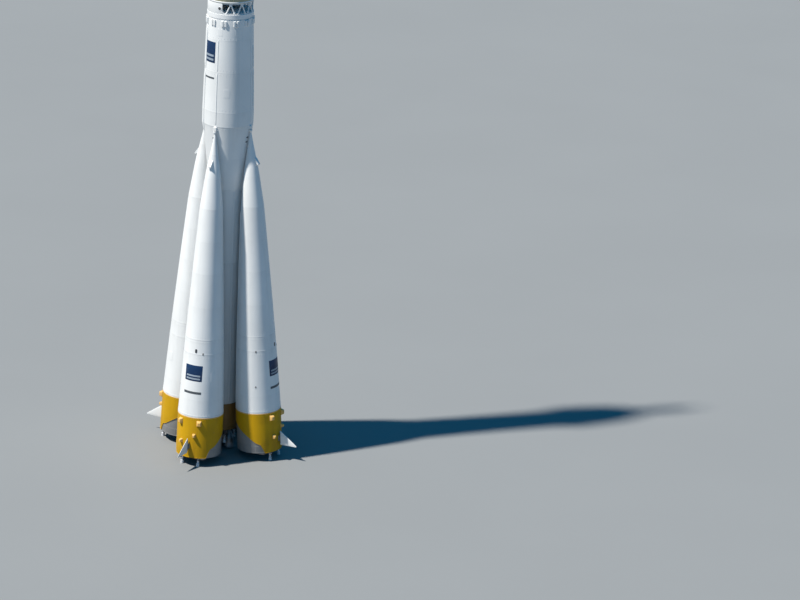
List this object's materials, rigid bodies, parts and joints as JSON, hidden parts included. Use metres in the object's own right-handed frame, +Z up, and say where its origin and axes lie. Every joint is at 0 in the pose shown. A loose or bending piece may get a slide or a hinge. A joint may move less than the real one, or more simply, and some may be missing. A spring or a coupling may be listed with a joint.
{
  "type": "space rocket, 1:2 scale model",
  "caption": "Three-stage launch rocket model with conical strap-on boosters, lattice interstage, steering chambers, air rudders and escape tower.",
  "frame": {"origin": "on the rocket's axis, level with the undersides of the four support brackets near the boosters' tips, where launch-pad arms hold it", "axes": "+Z up along the rocket's axis to the nose; the boosters stand on the diagonals between X and Y"},
  "size_m": [3.6296, 3.6296, 24.8863],
  "materials": {
    "white_paint": "satin white-grey paint with faint streaks",
    "rudder_white": "satin white paint",
    "ochre_paint": "satin ochre-yellow paint",
    "olive_paint": "faded olive-grey paint",
    "tail_brown": "matt dark brown paint",
    "engine_metal": "dull grey metal",
    "nozzle_metal": "brushed grey metal",
    "grey_paint": "satin grey paint"
  },
  "bodies": {
    "airframe": {"core_tail": "tail_brown", "core_fuel_tank": "white_paint", "core_oxidizer_tank": "white_paint", "core_top_bay": "white_paint", "core_engine": "engine_metal", "interstage_truss": "white_paint", "third_tail": "olive_paint", "third_tank": "white_paint", "third_engine": "engine_metal", "payload_adapter": "grey_paint", "fairing_barrel": "white_paint", "fairing_nose": "white_paint", "escape_tower": "white_paint", "booster_a_tanks": "white_paint", "booster_a_tail": "ochre_paint", "booster_a_shroud": "grey_paint", "booster_a_engine": "engine_metal", "booster_b_tanks": "white_paint", "booster_b_tail": "ochre_paint", "booster_b_shroud": "grey_paint", "booster_b_engine": "engine_metal", "booster_c_tanks": "white_paint", "booster_c_tail": "ochre_paint", "booster_c_shroud": "grey_paint", "booster_c_engine": "engine_metal", "booster_d_tanks": "white_paint", "booster_d_tail": "ochre_paint", "booster_d_shroud": "grey_paint", "booster_d_engine": "engine_metal"},
    "booster_a_rudder": {"booster_a_rudder": "rudder_white"},
    "booster_a_vernier_1": {"booster_a_vernier_1": "nozzle_metal"},
    "booster_a_vernier_2": {"booster_a_vernier_2": "nozzle_metal"},
    "booster_b_rudder": {"booster_b_rudder": "rudder_white"},
    "booster_b_vernier_1": {"booster_b_vernier_1": "nozzle_metal"},
    "booster_b_vernier_2": {"booster_b_vernier_2": "nozzle_metal"},
    "booster_c_rudder": {"booster_c_rudder": "rudder_white"},
    "booster_c_vernier_1": {"booster_c_vernier_1": "nozzle_metal"},
    "booster_c_vernier_2": {"booster_c_vernier_2": "nozzle_metal"},
    "booster_d_rudder": {"booster_d_rudder": "rudder_white"},
    "booster_d_vernier_1": {"booster_d_vernier_1": "nozzle_metal"},
    "booster_d_vernier_2": {"booster_d_vernier_2": "nozzle_metal"},
    "core_vernier_e": {"core_vernier_e": "nozzle_metal"},
    "core_vernier_n": {"core_vernier_n": "nozzle_metal"},
    "core_vernier_w": {"core_vernier_w": "nozzle_metal"},
    "core_vernier_s": {"core_vernier_s": "nozzle_metal"},
    "third_vernier_e": {"third_vernier_e": "nozzle_metal"},
    "third_vernier_n": {"third_vernier_n": "nozzle_metal"},
    "third_vernier_w": {"third_vernier_w": "nozzle_metal"},
    "third_vernier_s": {"third_vernier_s": "nozzle_metal"},
    "grid_fin_e": {"grid_fin_e": "grey_paint"},
    "grid_fin_n": {"grid_fin_n": "grey_paint"},
    "grid_fin_w": {"grid_fin_w": "grey_paint"},
    "grid_fin_s": {"grid_fin_s": "grey_paint"}
  },
  "joints": [
    {"name": "booster_a_rudder_turn", "type": "hinge", "parent": "airframe", "child": "booster_a_rudder", "pos_m": [-1.42056, -1.42056, -8.29592], "axis": [-0.7058, -0.7058, 0.0598], "range_deg": [-25, 25]},
    {"name": "booster_a_vernier_1_swing", "type": "hinge", "parent": "airframe", "child": "booster_a_vernier_1", "pos_m": [-1.10132, -1.47644, -8.71782], "axis": [-0.2913, -0.9552, 0.0528], "range_deg": [-45, 45]},
    {"name": "booster_a_vernier_2_swing", "type": "hinge", "parent": "airframe", "child": "booster_a_vernier_2", "pos_m": [-1.47644, -1.10132, -8.71782], "axis": [-0.9552, -0.2913, 0.0528], "range_deg": [-45, 45]},
    {"name": "booster_b_rudder_turn", "type": "hinge", "parent": "airframe", "child": "booster_b_rudder", "pos_m": [1.42056, -1.42056, -8.29592], "axis": [0.7058, -0.7058, 0.0598], "range_deg": [-25, 25]},
    {"name": "booster_b_vernier_1_swing", "type": "hinge", "parent": "airframe", "child": "booster_b_vernier_1", "pos_m": [1.47644, -1.10132, -8.71782], "axis": [0.9552, -0.2913, 0.0528], "range_deg": [-45, 45]},
    {"name": "booster_b_vernier_2_swing", "type": "hinge", "parent": "airframe", "child": "booster_b_vernier_2", "pos_m": [1.10132, -1.47644, -8.71782], "axis": [0.2913, -0.9552, 0.0528], "range_deg": [-45, 45]},
    {"name": "booster_c_rudder_turn", "type": "hinge", "parent": "airframe", "child": "booster_c_rudder", "pos_m": [1.42056, 1.42056, -8.29592], "axis": [0.7058, 0.7058, 0.0598], "range_deg": [-25, 25]},
    {"name": "booster_c_vernier_1_swing", "type": "hinge", "parent": "airframe", "child": "booster_c_vernier_1", "pos_m": [1.10132, 1.47644, -8.71782], "axis": [0.2913, 0.9552, 0.0528], "range_deg": [-45, 45]},
    {"name": "booster_c_vernier_2_swing", "type": "hinge", "parent": "airframe", "child": "booster_c_vernier_2", "pos_m": [1.47644, 1.10132, -8.71782], "axis": [0.9552, 0.2913, 0.0528], "range_deg": [-45, 45]},
    {"name": "booster_d_rudder_turn", "type": "hinge", "parent": "airframe", "child": "booster_d_rudder", "pos_m": [-1.42056, 1.42056, -8.29592], "axis": [-0.7058, 0.7058, 0.0598], "range_deg": [-25, 25]},
    {"name": "booster_d_vernier_1_swing", "type": "hinge", "parent": "airframe", "child": "booster_d_vernier_1", "pos_m": [-1.47644, 1.10132, -8.71782], "axis": [-0.9552, 0.2913, 0.0528], "range_deg": [-45, 45]},
    {"name": "booster_d_vernier_2_swing", "type": "hinge", "parent": "airframe", "child": "booster_d_vernier_2", "pos_m": [-1.10132, 1.47644, -8.71782], "axis": [-0.2913, 0.9552, 0.0528], "range_deg": [-45, 45]},
    {"name": "core_vernier_e_swing", "type": "hinge", "parent": "airframe", "child": "core_vernier_e", "pos_m": [0.41, 0, -8.475], "axis": [1, 0, 0], "range_deg": [-45, 45]},
    {"name": "core_vernier_n_swing", "type": "hinge", "parent": "airframe", "child": "core_vernier_n", "pos_m": [0, 0.41, -8.475], "axis": [0, 1, 0], "range_deg": [-45, 45]},
    {"name": "core_vernier_w_swing", "type": "hinge", "parent": "airframe", "child": "core_vernier_w", "pos_m": [-0.41, 0, -8.475], "axis": [-1, 0, 0], "range_deg": [-45, 45]},
    {"name": "core_vernier_s_swing", "type": "hinge", "parent": "airframe", "child": "core_vernier_s", "pos_m": [0, -0.41, -8.475], "axis": [0, -1, 0], "range_deg": [-45, 45]},
    {"name": "third_vernier_e_swing", "type": "hinge", "parent": "airframe", "child": "third_vernier_e", "pos_m": [0.5375, 0, 5.0156], "axis": [1, 0, 0], "range_deg": [-45, 45]},
    {"name": "third_vernier_n_swing", "type": "hinge", "parent": "airframe", "child": "third_vernier_n", "pos_m": [0, 0.5375, 5.0156], "axis": [0, 1, 0], "range_deg": [-45, 45]},
    {"name": "third_vernier_w_swing", "type": "hinge", "parent": "airframe", "child": "third_vernier_w", "pos_m": [-0.5375, 0, 5.0156], "axis": [-1, 0, 0], "range_deg": [-45, 45]},
    {"name": "third_vernier_s_swing", "type": "hinge", "parent": "airframe", "child": "third_vernier_s", "pos_m": [0, -0.5375, 5.0156], "axis": [0, -1, 0], "range_deg": [-45, 45]},
    {"name": "grid_fin_e_fold", "type": "hinge", "parent": "airframe", "child": "grid_fin_e", "pos_m": [0.7775, 0, 8.8759], "axis": [0, 1, 0], "range_deg": [0, 90]},
    {"name": "grid_fin_n_fold", "type": "hinge", "parent": "airframe", "child": "grid_fin_n", "pos_m": [0, 0.7775, 8.8759], "axis": [-1, 0, 0], "range_deg": [0, 90]},
    {"name": "grid_fin_w_fold", "type": "hinge", "parent": "airframe", "child": "grid_fin_w", "pos_m": [-0.7775, 0, 8.8759], "axis": [0, -1, 0], "range_deg": [0, 90]},
    {"name": "grid_fin_s_fold", "type": "hinge", "parent": "airframe", "child": "grid_fin_s", "pos_m": [0, -0.7775, 8.8759], "axis": [1, 0, 0], "range_deg": [0, 90]}
  ]
}
